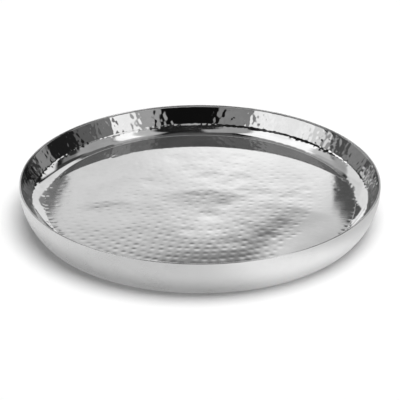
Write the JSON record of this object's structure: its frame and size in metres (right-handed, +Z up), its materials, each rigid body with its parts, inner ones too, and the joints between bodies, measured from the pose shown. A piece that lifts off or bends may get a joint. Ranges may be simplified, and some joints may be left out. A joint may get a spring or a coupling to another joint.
{
  "type": "serving tray",
  "caption": "Round shallow double-walled steel serving tray with a polished, hammered inside, a smooth satin outside and a thin welded rim.",
  "frame": {"origin": "middle of the underside, on the plane that the tray stands on", "axes": "+Z up along the tray's axis of revolution; X and Y lie on the table and are alike"},
  "size_m": [0.35, 0.35, 0.038],
  "materials": {
    "pan_polish": "polished",
    "shell_satin": "satin",
    "rim_polish": "polished",
    "plug_steel": "satin"
  },
  "bodies": {
    "root": {"inner_pan": "pan_polish", "outer_shell": "shell_satin", "rim_weld": "rim_polish", "vent_plug": "plug_steel"}
  },
  "joints": []
}
